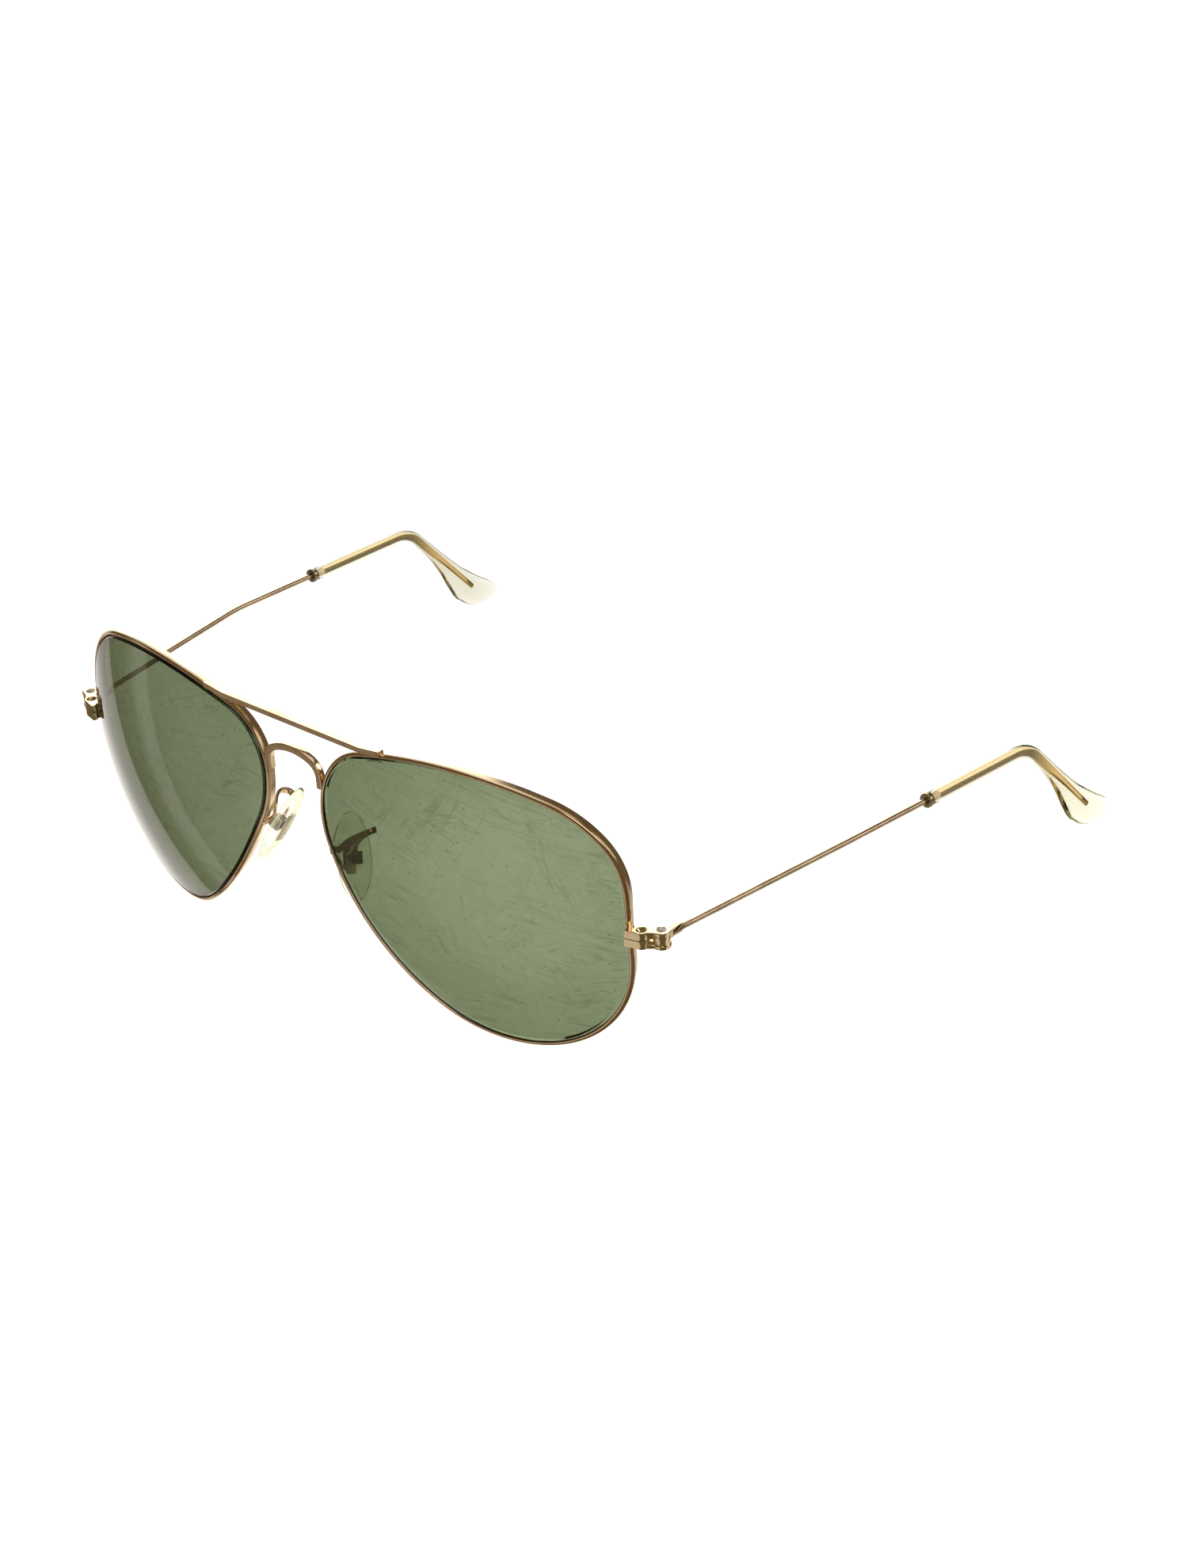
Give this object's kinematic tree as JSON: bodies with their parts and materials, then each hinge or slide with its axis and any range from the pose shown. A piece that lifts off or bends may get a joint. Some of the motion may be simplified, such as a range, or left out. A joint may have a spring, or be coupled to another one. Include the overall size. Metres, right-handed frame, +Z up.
{
  "type": "aviator sunglasses",
  "caption": "Wire-framed aviator sunglasses with tear-drop green lenses, a brow bar, folding thin temples with clear tips and rocking nose pads.",
  "frame": {"origin": "on the table under the middle of the open glasses, midway between the lens fronts and the ends of the tips", "axes": "+X to the wearer's left, -Y the way the lenses face, +Y back along the temples, +Z up"},
  "size_m": [0.1646, 0.1375, 0.0547],
  "materials": {
    "gold_metal": "aged satin, coppery patina",
    "screw_steel": "dull",
    "green_glass": "polished, fine scratches",
    "amber_tip": "clear, yellowed",
    "clear_pad": "clear, yellowed"
  },
  "bodies": {
    "front": {"left_eyewire": "gold_metal", "right_eyewire": "gold_metal", "left_lens": "green_glass", "right_lens": "green_glass", "bridge": "gold_metal", "brow_bar": "gold_metal", "left_upper_block": "gold_metal", "right_upper_block": "gold_metal", "left_lower_block": "gold_metal", "right_lower_block": "gold_metal", "left_closing_screw": "screw_steel", "right_closing_screw": "screw_steel", "left_hinge_screw": "screw_steel", "right_hinge_screw": "screw_steel", "left_pad_arm": "gold_metal", "right_pad_arm": "gold_metal", "left_pad_box": "gold_metal", "right_pad_box": "gold_metal", "left_pad_screw": "screw_steel", "right_pad_screw": "screw_steel"},
    "left_temple": {"left_knuckle": "gold_metal", "left_temple_wire": "gold_metal", "left_collar": "gold_metal", "left_tip": "amber_tip"},
    "right_temple": {"right_knuckle": "gold_metal", "right_temple_wire": "gold_metal", "right_collar": "gold_metal", "right_tip": "amber_tip"},
    "left_nose_pad": {"left_pad": "clear_pad", "left_pad_insert": "gold_metal"},
    "right_nose_pad": {"right_pad": "clear_pad", "right_pad_insert": "gold_metal"}
  },
  "joints": [
    {"name": "left_temple_hinge", "type": "hinge", "parent": "front", "child": "left_temple", "pos_m": [0.0734, -0.05257, 0.029], "axis": [0, 0, 1], "range_deg": [0, 93]},
    {"name": "right_temple_hinge", "type": "hinge", "parent": "front", "child": "right_temple", "pos_m": [-0.0734, -0.05257, 0.029], "axis": [0, 0, -1], "range_deg": [0, 88]},
    {"name": "left_pad_rock", "type": "hinge", "parent": "front", "child": "left_nose_pad", "pos_m": [0.01035, -0.06259, 0.02766], "axis": [0.268, 0.9159, -0.2988], "range_deg": [-4, 4]},
    {"name": "right_pad_rock", "type": "hinge", "parent": "front", "child": "right_nose_pad", "pos_m": [-0.01035, -0.06259, 0.02766], "axis": [0.268, -0.9159, 0.2988], "range_deg": [-4, 4]}
  ]
}
